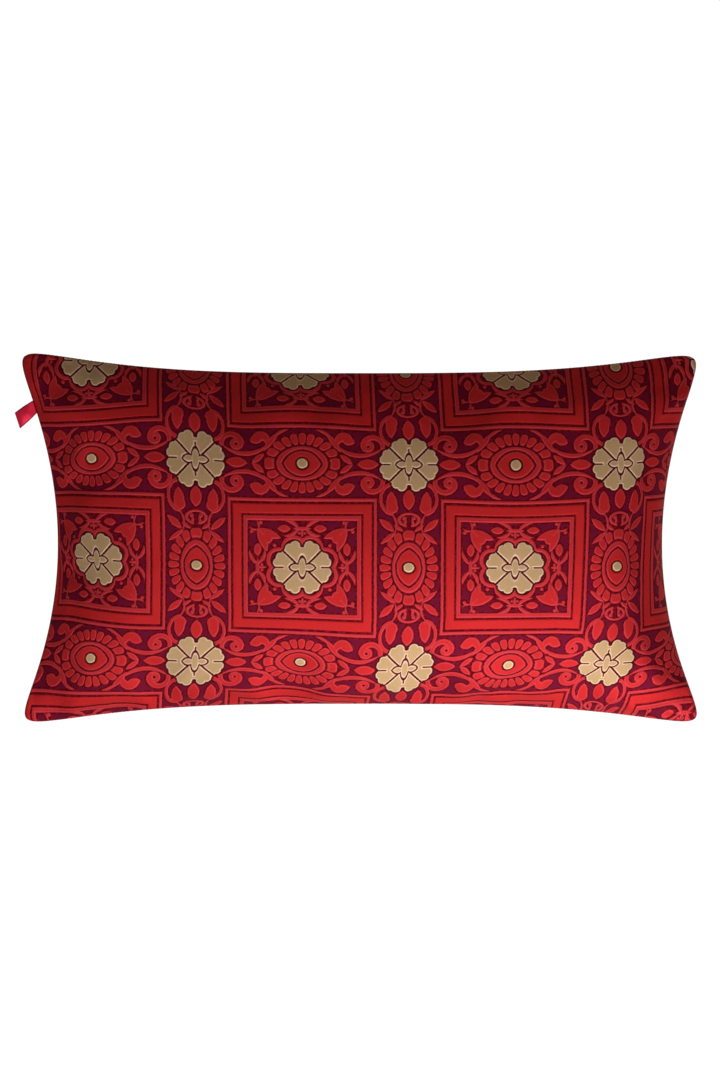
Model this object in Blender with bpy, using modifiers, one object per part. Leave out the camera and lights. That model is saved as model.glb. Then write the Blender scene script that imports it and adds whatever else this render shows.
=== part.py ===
"""A filled lumbar cushion in a brocade cover, with a folded ribbon tab in its left seam.

The cushion lies on its back. The origin is the centre of the flat zone that rests on the
surface, +X runs along the cushion's length, +Y towards its top edge and +Z out of its face.
Everything is in metres.
"""
import math

import bmesh
import bpy
from mathutils import Vector

MM = 0.001

# Outline, seen face on: over its rounded corners, and how far each side is drawn in at its middle
LENGTH = 559 * MM
WIDTH = 306 * MM
END_DRAW_IN = 37.5 * MM
TOP_DRAW_IN = 21 * MM
BOTTOM_DRAW_IN = 22 * MM
END_CURVE = 2.0
LONG_SIDE_CURVE = 3.1
CORNER_ROUNDNESS = 18
OUTLINE_STEPS = 400

# How far each corner lies off the plain outline: the stuffing pulls them a little unevenly
CORNER_PULLS = (
    # side_x, side_y, along_x, along_y
    (-1, 1, 0.8 * MM, 1.4 * MM),
    (1, 1, -2.5 * MM, -0.9 * MM),
    (-1, -1, -0.9 * MM, 0.1 * MM),
    (1, -1, 2.6 * MM, 0.3 * MM),
)

# Section: the seam's height over the surface, the crown over the seam, and the flat zone below
SEAM_HEIGHT = 38 * MM
CORNER_DROP = 5 * MM
CROWN = 47 * MM
SEAM_THICKNESS = 3 * MM
FLAT_ZONE = 0.72
BACK_ROUNDNESS = 1.8

# Fullness towards each side: a higher power keeps the face level for longer, and a lower
# exponent makes it meet the seam more steeply. The stuffing sits a little to the right.
LEFT_FULLNESS = (2.7, 0.68)
RIGHT_FULLNESS = (5.0, 0.52)
LONG_SIDE_FULLNESS = (2.2, 0.68)

# Soft hollows where the cloth draws in along the seam, and how deep each one is
SEAM_HOLLOWS = (
    # across, up, radius, depth
    (-0.80, 0.42, 34 * MM, 1.6 * MM),
    (-0.62, -0.74, 30 * MM, 1.4 * MM),
    (-0.22, -0.86, 26 * MM, 1.6 * MM),
    (0.20, -0.88, 24 * MM, 1.2 * MM),
    (0.66, -0.78, 30 * MM, 1.4 * MM),
    (0.30, 0.86, 26 * MM, 1.2 * MM),
    (-0.38, 0.84, 28 * MM, 1.2 * MM),
    (0.82, 0.40, 26 * MM, 1.2 * MM),
)

# The grid of each panel
CELLS_LONG = 56
CELLS_WIDE = 30
EDGE_CROWDING = 0.55

# Ribbon tab: a loop of half-inch satin ribbon, sewn into the left seam below the top corner
RIBBON_WIDTH = 12.7 * MM
RIBBON_REACH = 19 * MM
RIBBON_THICKNESS = 1.0 * MM
RIBBON_PLACE = 0.695
RIBBON_SLANT = math.radians(38)
RIBBON_DROOP = 2.2 * MM
LAYER_SPREAD_AT_SEAM = 0.75 * MM
LAYER_SPREAD_AT_FOLD = 1.5 * MM
STEPS_ALONG_LAYER = 8
STEPS_ROUND_FOLD = 6
STEPS_ACROSS = 4
SEAM_GAP = 0.35 * MM


def clear_scene():
    for old in list(bpy.data.objects):
        bpy.data.objects.remove(old, do_unlink=True)


def new_material(name, colour, roughness):
    material = bpy.data.materials.new(name)
    material.use_nodes = True
    shader = material.node_tree.nodes["Principled BSDF"]
    shader.inputs["Base Color"].default_value = (*colour, 1)
    shader.inputs["Roughness"].default_value = roughness
    shader.inputs["Metallic"].default_value = 0
    return material


def new_object(name, bm, material, collection):
    mesh = bpy.data.meshes.new(name)
    bm.to_mesh(mesh)
    bm.free()
    mesh.materials.append(material)
    mesh.shade_smooth()
    mesh.set_sharp_from_angle(angle=math.radians(50))
    obj = bpy.data.objects.new(name, mesh)
    collection.objects.link(obj)
    return obj


def drawn_in(across, up):
    """A point of the panel, from -1 to 1 each way, in plan, before the corners are brought to size."""
    reach = max(abs(across), abs(up))
    if reach > 0:
        corner = (abs(across) ** CORNER_ROUNDNESS + abs(up) ** CORNER_ROUNDNESS) ** (1 / CORNER_ROUNDNESS)
        across, up = across * reach / corner, up * reach / corner
    long_draw_in = TOP_DRAW_IN if up > 0 else BOTTOM_DRAW_IN
    x = across * (LENGTH / 2 - END_DRAW_IN * (1 - abs(up) ** END_CURVE))
    y = up * (WIDTH / 2 - long_draw_in * (1 - abs(across) ** LONG_SIDE_CURVE))
    for side_x, side_y, along_x, along_y in CORNER_PULLS:
        share = max(across * side_x, 0) ** 3 * max(up * side_y, 0) ** 3
        x += along_x * share
        y += along_y * share
    return x, y


def stretch_to_size():
    """What brings the rounded corners out to the stated length and width."""
    steps = [step / OUTLINE_STEPS for step in range(-OUTLINE_STEPS, OUTLINE_STEPS + 1)]
    ends = [drawn_in(side, step)[0] for side in (-1, 1) for step in steps]
    long_sides = [drawn_in(step, side)[1] for side in (-1, 1) for step in steps]
    return LENGTH / (max(ends) - min(ends)), WIDTH / (max(long_sides) - min(long_sides))


def on_outline(across, up):
    """Where a point of the panel, from -1 to 1 each way, lies in plan."""
    x, y = drawn_in(across, up)
    return x * STRETCH[0], y * STRETCH[1]


STRETCH = stretch_to_size()


def fullness(across, up):
    """How full the cushion is at a point: 1 at the crown, 0 along the seam."""
    power, exponent = RIGHT_FULLNESS if across > 0 else LEFT_FULLNESS
    lengthwise = max(1 - abs(across) ** power, 0) ** exponent
    power, exponent = LONG_SIDE_FULLNESS
    crosswise = max(1 - abs(up) ** power, 0) ** exponent
    return lengthwise * crosswise


def seam_height(across, up):
    return SEAM_HEIGHT - CORNER_DROP * (abs(across) * abs(up)) ** 4


def hollow_depth(x, y):
    depth = 0
    for across, up, radius, deepest in SEAM_HOLLOWS:
        centre_x, centre_y = on_outline(across, up)
        distance = math.hypot(x - centre_x, y - centre_y) / radius
        depth += deepest * math.exp(-distance ** 2)
    return depth


def front_point(across, up):
    x, y = on_outline(across, up)
    full = fullness(across, up)
    rise = CROWN * full - hollow_depth(x, y) * min(1, 6 * full)
    return x, y, seam_height(across, up) + SEAM_THICKNESS / 2 + rise


def back_point(across, up):
    x, y = on_outline(across, up)
    lift = max(1 - fullness(across, up) / FLAT_ZONE, 0) ** BACK_ROUNDNESS
    return x, y, (seam_height(across, up) - SEAM_THICKNESS / 2) * lift


def crowded(value):
    """Moves the grid's lines towards the seam, where the cloth turns fastest."""
    return (1 - EDGE_CROWDING) * value + EDGE_CROWDING * math.sin(value * math.pi / 2)


def add_panel(bm, place, facing_down):
    made = bmesh.ops.create_grid(bm, x_segments=CELLS_LONG, y_segments=CELLS_WIDE, size=1)
    for vert in made["verts"]:
        vert.co = place(crowded(vert.co.x), crowded(vert.co.y))
    if facing_down:
        faces = list({face for vert in made["verts"] for face in vert.link_faces})
        bmesh.ops.reverse_faces(bm, faces=faces)


def make_cushion(material, collection):
    """Two panels of the same cut, joined along the seam into one filled body."""
    bm = bmesh.new()
    add_panel(bm, front_point, facing_down=False)
    add_panel(bm, back_point, facing_down=True)
    rims = [edge for edge in bm.edges if edge.is_boundary]
    bmesh.ops.bridge_loops(bm, edges=rims)
    bmesh.ops.recalc_face_normals(bm, faces=bm.faces[:])
    return new_object("cushion", bm, material, collection)


def loop_profile():
    """The ribbon's middle line, seen edge on: (share of the reach, height over the seam)."""
    fold_share = LAYER_SPREAD_AT_FOLD / RIBBON_REACH
    straight = 1 - fold_share
    outward = []
    for step in range(STEPS_ALONG_LAYER):
        share = step / STEPS_ALONG_LAYER
        spread = LAYER_SPREAD_AT_SEAM + (LAYER_SPREAD_AT_FOLD - LAYER_SPREAD_AT_SEAM) * share ** 2
        outward.append((share * straight, spread))
    fold = []
    for step in range(STEPS_ROUND_FOLD + 1):
        turn = math.pi * step / STEPS_ROUND_FOLD
        fold.append((straight + fold_share * math.sin(turn), LAYER_SPREAD_AT_FOLD * math.cos(turn)))
    inward = [(share, -height) for share, height in reversed(outward)]
    return outward + fold + inward


def make_ribbon_tab(material, collection):
    """The ribbon leaves the seam on a slant, so its sewn end follows the seam's own line."""
    seam_point = Vector(on_outline(-1, RIBBON_PLACE))
    seam_above = Vector(on_outline(-1, RIBBON_PLACE + 0.03))
    seam_line = (seam_above - seam_point).normalized()
    seam_normal = Vector((-seam_line.y, seam_line.x))
    out = Vector((-math.cos(RIBBON_SLANT), -math.sin(RIBBON_SLANT)))
    side = Vector((-out.y, out.x))
    gap = SEAM_GAP / out.dot(seam_normal)
    bevel = -side.dot(seam_normal) / out.dot(seam_normal)
    profile = loop_profile()

    bm = bmesh.new()
    made = bmesh.ops.create_grid(bm, x_segments=len(profile) - 1, y_segments=STEPS_ACROSS, size=1)
    for vert in made["verts"]:
        share, height = profile[round((vert.co.x + 1) / 2 * (len(profile) - 1))]
        across = vert.co.y * RIBBON_WIDTH / 2
        start = gap + bevel * across
        along = start + (RIBBON_REACH - start) * share
        plan = seam_point + out * along + side * across
        height += seam_height(-1, RIBBON_PLACE) - RIBBON_DROOP * share ** 2
        vert.co = (plan.x, plan.y, height)
    tab = new_object("ribbon_tab", bm, material, collection)
    solid = tab.modifiers.new("ribbon thickness", "SOLIDIFY")
    solid.thickness = RIBBON_THICKNESS
    solid.offset = 0
    return tab


def main():
    clear_scene()
    collection = bpy.data.collections.new("brocade cushion")
    bpy.context.scene.collection.children.link(collection)
    make_cushion(new_material("brocade", (0.42, 0.03, 0.035), 0.6), collection)
    make_ribbon_tab(new_material("ribbon", (0.70, 0.03, 0.07), 0.35), collection)


main()
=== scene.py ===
"""A brocade cushion cover, shown filled and lying on its back, with a folded ribbon tab.

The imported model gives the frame: its origin is the middle of the outline on the flat zone below,
+X runs along the cushion, +Y towards its top edge and +Z out of its face. Lengths are in metres.
The brocade's motifs are drawn in threads, of which one repeat has 212.6 across and 207.6 up.
"""
import math

import bmesh
import bpy
import numpy as np
from bpy.props import FloatProperty, FloatVectorProperty, IntProperty, PointerProperty
from mathutils import Matrix, Vector


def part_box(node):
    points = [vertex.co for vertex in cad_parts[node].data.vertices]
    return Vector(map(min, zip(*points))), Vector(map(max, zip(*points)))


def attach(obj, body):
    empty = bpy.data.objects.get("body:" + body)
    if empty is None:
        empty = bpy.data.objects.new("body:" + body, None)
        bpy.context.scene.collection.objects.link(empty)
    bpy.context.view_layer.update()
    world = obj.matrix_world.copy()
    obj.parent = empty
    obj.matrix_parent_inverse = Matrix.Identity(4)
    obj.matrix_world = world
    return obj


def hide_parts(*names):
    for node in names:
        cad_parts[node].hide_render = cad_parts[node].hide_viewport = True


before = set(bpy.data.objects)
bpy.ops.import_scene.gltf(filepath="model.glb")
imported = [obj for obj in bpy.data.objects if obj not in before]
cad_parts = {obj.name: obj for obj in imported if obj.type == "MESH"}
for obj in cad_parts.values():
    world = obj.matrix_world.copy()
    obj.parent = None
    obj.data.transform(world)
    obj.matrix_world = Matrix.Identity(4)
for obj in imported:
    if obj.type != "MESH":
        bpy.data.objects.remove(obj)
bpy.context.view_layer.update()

bl_info = {
    "name": "Brocade cushion",
    "version": (1, 0, 0),
    "blender": (4, 5, 0),
    "location": "View3D > Sidebar > Cushion",
    "description": "Makes a filled cushion in a brocade cover with a ribbon tab, and its studio",
    "category": "Add Mesh",
}

MM = 0.001
CUSHION_LOW, CUSHION_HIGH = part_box("cushion")

# How far each corner lies off the plain outline: the stuffing pulls them a little unevenly
CORNER_PULLS = (
    # side_x, side_y, along_x, along_y
    (-1, 1, 0.8 * MM, 1.4 * MM),
    (1, 1, -2.5 * MM, -0.9 * MM),
    (-1, -1, -0.9 * MM, 0.1 * MM),
    (1, -1, 2.6 * MM, 0.3 * MM),
)

# Soft hollows where the cloth draws in along the seam, and how deep each one is
SEAM_HOLLOWS = (
    # across, up, radius, depth
    (-0.80, 0.42, 34 * MM, 1.6 * MM),
    (-0.62, -0.74, 30 * MM, 1.4 * MM),
    (-0.22, -0.86, 26 * MM, 1.6 * MM),
    (0.20, -0.88, 24 * MM, 1.2 * MM),
    (0.66, -0.78, 30 * MM, 1.4 * MM),
    (0.30, 0.86, 26 * MM, 1.2 * MM),
    (-0.38, 0.84, 28 * MM, 1.2 * MM),
    (0.82, 0.40, 26 * MM, 1.2 * MM),
    (-0.95, 0.46, 7 * MM, 1.8 * MM),
    (-0.93, 0.30, 8 * MM, 1.5 * MM),
    (-0.95, -0.17, 8 * MM, 1.5 * MM),
)

# Fullness towards each side: how flat the middle is, and the exponent of its fall towards the seam
LEFT_FULLNESS = (2.7, 0.68)
RIGHT_FULLNESS = (5.0, 0.52)
LONG_SIDE_FULLNESS = (2.2, 0.68)

# The outline: how its sides curve, how its corners are rounded, and how soon their pull fades
END_CURVE = 2.0
LONG_SIDE_CURVE = 3.1
CORNER_CUT = 0.038
CORNER_SHARPNESS = 14
CORNER_PULL_FADE = 3
OUTLINE_STEPS = 801

# The section: how the seam drops at the corners, and the flat zone on which the back rests
CORNER_DROP = 5 * MM
CORNER_DROP_FADE = 4
FLAT_ZONE = 0.72
BACK_ROUNDNESS = 1.8

# How near to the seam a hollow fades out, and how much the mesh's lines gather towards the seam
HOLLOW_FADE = 6
EDGE_CROWDING = 0.50

# The brocade's repeat, half of it each way, in threads, and the width of one thread each way
HALF_REPEAT = (106.3, 103.8)
THREAD = (0.8135 * MM, 0.8055 * MM)

# The rosette nearest to the middle, in metres of cloth from the panel's middle
CROSSING = (39.6 * MM, 66.2 * MM)

# How much of the cloth next to the seam takes up what the seam gathers: a higher power, less of it
SEAM_EASE = 7

# Where the weave runs off its straight line, as it was eased into the seam
CLOTH_PULLS = (
    # along, across, radius, shift_along, shift_across
    (-160 * MM, 105 * MM, 60 * MM, -1.0 * MM, 6.0 * MM),
    (-46 * MM, 125 * MM, 45 * MM, 0.0 * MM, 4.5 * MM),
    (125 * MM, 100 * MM, 50 * MM, 0.5 * MM, 4.5 * MM),
    (125 * MM, 50 * MM, 50 * MM, 0.0 * MM, -3.5 * MM),
    (-225 * MM, 10 * MM, 80 * MM, 0.5 * MM, 3.5 * MM),
    (-245 * MM, 45 * MM, 55 * MM, -7.0 * MM, 0.0 * MM),
    (-230 * MM, -90 * MM, 60 * MM, -3.5 * MM, 2.0 * MM),
    (-265 * MM, -70 * MM, 50 * MM, 0.0 * MM, 5.5 * MM),
    (-135 * MM, -80 * MM, 45 * MM, 0.0 * MM, 2.0 * MM),
    (14 * MM, -90 * MM, 45 * MM, 0.0 * MM, -3.0 * MM),
    (-162 * MM, -138 * MM, 30 * MM, 0.0 * MM, -4.0 * MM),
    (-60 * MM, -134 * MM, 40 * MM, 0.0 * MM, 4.0 * MM),
    (45 * MM, -138 * MM, 40 * MM, 0.0 * MM, -7.0 * MM),
    (272 * MM, -125 * MM, 45 * MM, 0.0 * MM, 9.0 * MM),
    (-280 * MM, 20 * MM, 50 * MM, -7.0 * MM, 0.0 * MM),
    (-20 * MM, -134 * MM, 45 * MM, 0.0 * MM, -5.0 * MM),
    (100 * MM, -134 * MM, 45 * MM, 0.0 * MM, -2.2 * MM),
    (-150 * MM, 140 * MM, 50 * MM, 0.0 * MM, 3.6 * MM),
    (272 * MM, 5 * MM, 45 * MM, 3.0 * MM, 0.0 * MM),
    (240 * MM, 48 * MM, 50 * MM, 2.2 * MM, 0.0 * MM),
    (212 * MM, -84 * MM, 58 * MM, -3.4 * MM, 0.0 * MM),
)

# The cloth also leans to the left towards the bottom seam, most at its right end
LEAN_START = -60 * MM
LEAN_END = -150 * MM
LEAN_LEFT = 5 * MM
LEAN_RIGHT = 31 * MM
LEAN_GROWTH_ALONG = 4.5
LEAN_GROWTH_DOWN = 1.3

# It leans a little to the left towards the top seam too
TOP_LEAN_START = 90 * MM
TOP_LEAN_END = 150 * MM
TOP_LEAN = 2.4 * MM

# The skin's baked picture: how much of it the face takes, and the margins in it
BAKE_SHARE_OF_FRONT = 0.70
BAKE_MARGIN = 0.01
BAKE_WIDTH_OF_SEAM = 0.004
CLOTH_STEP_ALONG_SEAM = 3 * MM
FRONT_SLOT = 0
BACK_SLOT = 1

# The settling: how firmly the cloth is held by its distance from the middle, which is 1 on the seam
ON_SEAM = 0.999
FACE_HOLD = 0.01
FACE_HOLD_INSIDE = 0.5
FACE_HOLD_START = 0.88
FACE_HOLD_REACH = 0.45
BACK_HOLD = 0.03
PLAIN_START = 0.95
PLAIN_REACH = 0.35
SMOOTHING_ROUNDS = 3
SMOOTHING_KEPT = 0.5

# The cloth as the simulation takes it, apart from the settings in CushionSizes
CLOTH_SETTINGS = {
    "quality": 5,
    "mass": 0.3,
    "tension_stiffness": 30,
    "compression_stiffness": 30,
    "shear_stiffness": 12,
    "tension_damping": 25,
    "compression_damping": 25,
    "shear_damping": 25,
    "bending_damping": 4,
    "air_damping": 6,
    "pin_stiffness": 1.0,
    "shrink_max": 0,
    "use_pressure": True,
}

# A panel of the brocade, in threads: half its size each way. A depth counts less across the cushion,
# so the frame is broader there.
PANEL_HALF = (74.2, 69.5)
DEPTH_ACROSS = 0.885

# The frame's lines and band, by the depth of their middle from the panel's edge
FRAME_OUTER_LINE = {"middle": 1.3, "half_width": 1.3}
FRAME_BAND = {"middle": 9.2, "half_width": 4.2}
FRAME_INNER_LINE = {"middle": 17.5, "half_width": 2.0}
GAP_ROUND_PANEL = 1.5

# The gold spot in each medallion, in threads, and how its width counts
SPOT_RADIUS = 4.6
SPOT_WIDTH = 0.9

# The ribbon's woven edge, darkened as painted shade, between two distances in from its side, and one rib of
# its satin
SHADED_SELVEDGE_START = 1.45 * MM
SHADED_SELVEDGE_END = 0.45 * MM
SATIN_RIB = 0.55 * MM

# Half the distance between the ribbon's layers, the steps of its mesh, and the stretch of seam whose
# direction it starts along, as a share of the way to the corner
SPREAD_AT_SEAM = 0.5 * MM
SPREAD_AT_FOLD = 1.3 * MM
STEPS_ALONG_RIBBON = 26
STEPS_ROUND_FOLD = 12
STEPS_ACROSS_RIBBON = 14
SEAM_STRETCH = 0.03

# One stitch, before it is stretched to its length and thickness
STITCH_SEGMENTS = 8
STITCH_RINGS = 5
STITCH_RADIUS = 0.5

# The studio
FLOOR_HALF = 6
FLOOR_GAP = 0.3 * MM
PAPER_WHITE = 1.05
WORLD_STRENGTH = 0.12
SENSOR_HEIGHT = 36
CLIP_START = 0.05
SOFTBOX_SIZE = (0.6, 0.5)
SOFTBOX_TARGET = (0, 0, 0.04)
SOFTBOXES = (
    # name, location, watts, tint
    ("left softbox", (-0.55, -0.78, 1.15), 6.9, (1, 1, 1)),
    ("low softbox", (0.23, -0.52, 0.45), 5.0, (1, 1, 1)),
    ("overhead softbox", (0.4, 0.3, 1.8), 3.2, (1.0, 0.82, 0.62)),
    ("warm bounce", (0.3, 0.7, 0.5), 0.22, (1.0, 0.4, 0.12)),
)


# Sizes and colours

def linear_part(share):
    """One part of a screen colour as linear light."""
    if share <= 0.04045:
        return share / 12.92
    return ((share + 0.055) / 1.055) ** 2.4


def linear(code):
    """A colour written as six hexadecimal digits, as linear light."""
    return tuple(linear_part(int(code[start:start + 2], 16) / 255) for start in (0, 2, 4))


def number(name, description, default):
    return IntProperty(name=name, description=description, default=default)


def angle(name, description, degrees):
    default = math.radians(degrees)
    return FloatProperty(name=name, description=description, default=default, subtype="ANGLE")


def length(name, description, default):
    return FloatProperty(name=name, description=description, default=default, unit="LENGTH", precision=4)


def amount(name, description, default, low=0.0, high=1.0):
    return FloatProperty(name=name, description=description, default=default, min=low, max=high)


def colour(name, description, default):
    return FloatVectorProperty(
        name=name,
        description=description,
        default=linear(default),
        subtype="COLOR",
        size=3,
        min=0,
        max=1,
    )


class CushionSizes(bpy.types.PropertyGroup):
    """The filled cushion: its outline, its section and how the cloth was let out."""

    long: length("Length", "Over the rounded corners, along the cushion", CUSHION_HIGH.x - CUSHION_LOW.x)
    wide: length("Width", "Over the rounded corners, across the cushion", CUSHION_HIGH.y - CUSHION_LOW.y)
    end_draw_in: length("End draw-in", "How far each end is drawn in at its middle", 37.5 * MM)
    top_draw_in: length("Top draw-in", "How far the top edge is drawn in at its middle", 21 * MM)
    bottom_draw_in: length("Bottom draw-in", "How far the bottom edge is drawn in at its middle", 22 * MM)
    seam_height: length("Seam height", "Height of the seam over the surface", 38 * MM)
    crown: length("Crown", "Height of the face's crown over the seam", 47 * MM)
    seam_thickness: length("Seam thickness", "Thickness of the knife-edge seam", 1.4 * MM)
    cells_long: number("Cells along", "Cells of each panel along the cushion", 124)
    cells_wide: number("Cells across", "Cells of each panel across it", 68)
    settle_frames: number("Settling", "Frames of the cloth simulation", 26)
    let_out: amount("Let out", "How much cloth the puckers along the seam take up", 0.04)
    pressure: amount("Pressure", "Pressure of the stuffing", 2.2, high=20)
    bending: amount("Bending", "How stiff the cloth is against bending", 0.5, high=20)
    cap: length("Largest move", "How far the settling may move a point of the cloth", 2.5 * MM)


class BrocadeColours(bpy.types.PropertyGroup):
    """The yarns of the cover."""

    ground: colour("Ground", "Aubergine ground", "640d29")
    outline: colour("Outline", "Dark maroon line round the red figure", "56000c")
    figure: colour("Figure", "Red figure", "b02224")
    # Painted highlight: the red figure's edges are coloured a lighter pink
    figure_highlight: colour("Figure edge", "Lighter edge of the red figure", "b6323a")
    gold: colour("Gold", "Gold yarn of the rosettes", "ae8f68")
    # Painted highlight: the rosettes' edges are coloured paler
    gold_highlight: colour("Gold edge", "Pale edge of the rosettes", "d8b298")
    gold_outline: colour("Gold outline", "Dark brown line round the gold", "46080c")
    back: colour("Back", "Plain silk of the back", "a01c20")
    thread: colour("Sewing thread", "Thread of the seam", "86101a")


class RibbonSizes(bpy.types.PropertyGroup):
    """The folded tab in the left seam."""

    width: length("Width", "Width of the ribbon", 12.7 * MM)
    reach: length("Reach", "How far the folded ribbon stands out of the seam", 18.6 * MM)
    place: amount("Place", "Where it leaves the seam, as a share of the way to the top corner", 0.685)
    slant: angle("Slant", "Slope below level", 38)
    askew: length("Askew", "How much further out its lower edge is folded than its middle", 2.5 * MM)
    gather: amount("Gather", "How much narrower the seam draws it in", 0.2)
    bow: length("Bow", "How far its middle bows up where the seam gathers it", 1.6 * MM)
    droop: length("Droop", "How far its fold hangs below the seam", 3.8 * MM)
    roll: length("Roll", "How much lower its lower edge hangs than its middle", 1.2 * MM)
    thickness: length("Thickness", "Thickness of the satin", 0.5 * MM)
    colour: colour("Colour", "Red satin", "da1a3e")


class StitchSizes(bpy.types.PropertyGroup):
    """The lockstitch of the seam, as its thread shows where the two panels part."""

    pitch: length("Pitch", "From one stitch to the next", 3.2 * MM)
    stitch: length("Stitch", "Length of thread that shows", 2.1 * MM)
    thread: length("Thread", "Thickness of the thread", 0.42 * MM)
    inset: length("Inset", "How far the thread lies inside the plain outline", 0.42 * MM)


class StudioSizes(bpy.types.PropertyGroup):
    """The floor, the lights and the camera."""

    tilt: angle("Camera tilt", "Lean of the camera from the face's normal towards the top edge", 6)
    distance: length("Camera distance", "From the camera to the middle of the seam's plane", 2.6)
    lens: FloatProperty(
        name="Lens", description="Focal length for a frame 36 mm high, in mm", default=105.03)
    floor: colour("Floor", "Plain pale floor", "d8d6d3")


# Shape of the filled cushion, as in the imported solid

def drawn_in(sizes, across, up):
    """Places of the panel, from -1 to 1 each way, in plan, before the corners are brought to size."""
    shrunk = 1 - CORNER_CUT * np.abs(across * up) ** CORNER_SHARPNESS
    across, up = across * shrunk, up * shrunk
    long_draw_in = np.where(up > 0, sizes.top_draw_in, sizes.bottom_draw_in)
    x = across * (sizes.long / 2 - sizes.end_draw_in * (1 - np.abs(up) ** END_CURVE))
    y = up * (sizes.wide / 2 - long_draw_in * (1 - np.abs(across) ** LONG_SIDE_CURVE))
    for side_x, side_y, along_x, along_y in CORNER_PULLS:
        near_end = np.maximum(across * side_x, 0) ** CORNER_PULL_FADE
        near_side = np.maximum(up * side_y, 0) ** CORNER_PULL_FADE
        share = near_end * near_side
        x = x + along_x * share
        y = y + along_y * share
    return x, y


def on_outline(sizes, across, up):
    """Where places of the panel lie in plan, with the corners brought out to the stated size."""
    steps = np.linspace(-1, 1, OUTLINE_STEPS)
    ends = [drawn_in(sizes, np.full_like(steps, side), steps)[0] for side in (-1, 1)]
    sides = [drawn_in(sizes, steps, np.full_like(steps, side))[1] for side in (-1, 1)]
    x, y = drawn_in(sizes, across, up)
    return x * sizes.long / np.ptp(ends), y * sizes.wide / np.ptp(sides)


def bulge(share, fullness):
    """How full one direction is: 1 at the middle, 0 at the side."""
    flatness, exponent = fullness
    return np.maximum(1 - np.abs(share) ** flatness, 0) ** exponent


def fullness_at(across, up):
    """How full the cushion is: 1 at the crown, 0 along the seam."""
    lengthwise = np.where(across > 0, bulge(across, RIGHT_FULLNESS), bulge(across, LEFT_FULLNESS))
    return lengthwise * bulge(up, LONG_SIDE_FULLNESS)


def seam_height_at(sizes, across, up):
    """The seam's height, which drops a little towards the corners."""
    return sizes.seam_height - CORNER_DROP * np.abs(across * up) ** CORNER_DROP_FADE


def front_face(sizes, across, up):
    """The face: the crown over the seam, with its soft hollows."""
    x, y = on_outline(sizes, across, up)
    full = fullness_at(across, up)
    hollow = np.zeros_like(x)
    for centre_across, centre_up, radius, deepest in SEAM_HOLLOWS:
        centre_x, centre_y = on_outline(sizes, np.array([centre_across]), np.array([centre_up]))
        hollow += deepest * np.exp(-((x - centre_x) ** 2 + (y - centre_y) ** 2) / radius ** 2)
    rise = sizes.crown * full - hollow * np.minimum(1, HOLLOW_FADE * full)
    return x, y, seam_height_at(sizes, across, up) + sizes.seam_thickness / 2 + rise


def back_face(sizes, across, up):
    """The back, which lies flat in its middle and rises to the seam."""
    x, y = on_outline(sizes, across, up)
    lift = np.maximum(1 - fullness_at(across, up) / FLAT_ZONE, 0) ** BACK_ROUNDNESS
    return x, y, (seam_height_at(sizes, across, up) - sizes.seam_thickness / 2) * lift


def crowded(cells):
    """Grid lines from -1 to 1 that gather towards the seam, where the cloth turns fastest."""
    even = np.linspace(-1, 1, cells + 1)
    return (1 - EDGE_CROWDING) * even + EDGE_CROWDING * np.sin(even * math.pi / 2)


# How the cloth's pattern lies on the cushion

def cloth_lengths(points, axis, seam):
    """Metres of cloth from the panel's middle along each grid line, with the seam's gathers eased in."""
    steps = np.linalg.norm(np.diff(points, axis=axis), axis=2)
    total = np.cumsum(steps, axis=axis)
    start = np.zeros_like(np.take(total, [0], axis=axis))
    total = np.concatenate([start, total], axis=axis)
    middle = np.take(total, [total.shape[axis] // 2], axis=axis)
    reach = total - middle
    ends = np.where(reach < 0, np.take(reach, [0], axis=axis), np.take(reach, [-1], axis=axis))
    share = np.divide(reach, ends, out=np.zeros_like(reach), where=ends != 0)
    return reach + (np.sign(reach) * seam - ends) * share ** SEAM_EASE


def cloth_places(sizes, points):
    """Where each point of a panel lies on the flat cloth, along and across."""
    along = cloth_lengths(points, 0, sizes.long / 2)
    across = cloth_lengths(points, 1, sizes.wide / 2)
    down = np.clip((across - LEAN_START) / (LEAN_END - LEAN_START), 0, 1)
    right = along / sizes.long + 0.5
    top = np.clip((across - TOP_LEAN_START) / (TOP_LEAN_END - TOP_LEAN_START), 0, 1)
    bottom_lean = (LEAN_LEFT + LEAN_RIGHT * right ** LEAN_GROWTH_ALONG) * down ** LEAN_GROWTH_DOWN
    off_along = -bottom_lean - TOP_LEAN * top
    off_across = np.zeros_like(across)
    for centre_along, centre_across, radius, shift_along, shift_across in CLOTH_PULLS:
        near = np.exp(-((along - centre_along) ** 2 + (across - centre_across) ** 2) / radius ** 2)
        off_along += shift_along * near
        off_across += shift_across * near
    return along - off_along, across - off_across


# The cushion's mesh

def panel_places(sizes):
    """Places of a panel's grid, from -1 to 1 each way."""
    return np.meshgrid(crowded(sizes.cells_long), crowded(sizes.cells_wide), indexing="ij")


def baked_place(low, high, share):
    """A place on the baked picture, a margin inside the given span."""
    return low + BAKE_MARGIN + (high - low - 2 * BAKE_MARGIN) * share


def add_panel(bm, layers, points, places, bake_span, is_front):
    """One panel as a grid, with its place on the flat cloth and on the baked picture."""
    cloth, bake = layers
    along, across = places
    columns, rows = points.shape[:2]
    verts = [[bm.verts.new(points[i, j]) for j in range(rows)] for i in range(columns)]
    for i in range(columns - 1):
        for j in range(rows - 1):
            corners = [(i, j), (i + 1, j), (i + 1, j + 1), (i, j + 1)]
            if not is_front:
                corners.reverse()
            face = bm.faces.new([verts[a][b] for a, b in corners])
            face.material_index = FRONT_SLOT if is_front else BACK_SLOT
            face.smooth = True
            for loop, (a, b) in zip(face.loops, corners):
                loop[cloth].uv = (along[a, b], across[a, b])
                bake_x = baked_place(0, 1, a / (columns - 1))
                bake_y = baked_place(*bake_span, b / (rows - 1))
                loop[bake].uv = (bake_x, bake_y)
    return verts


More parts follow.
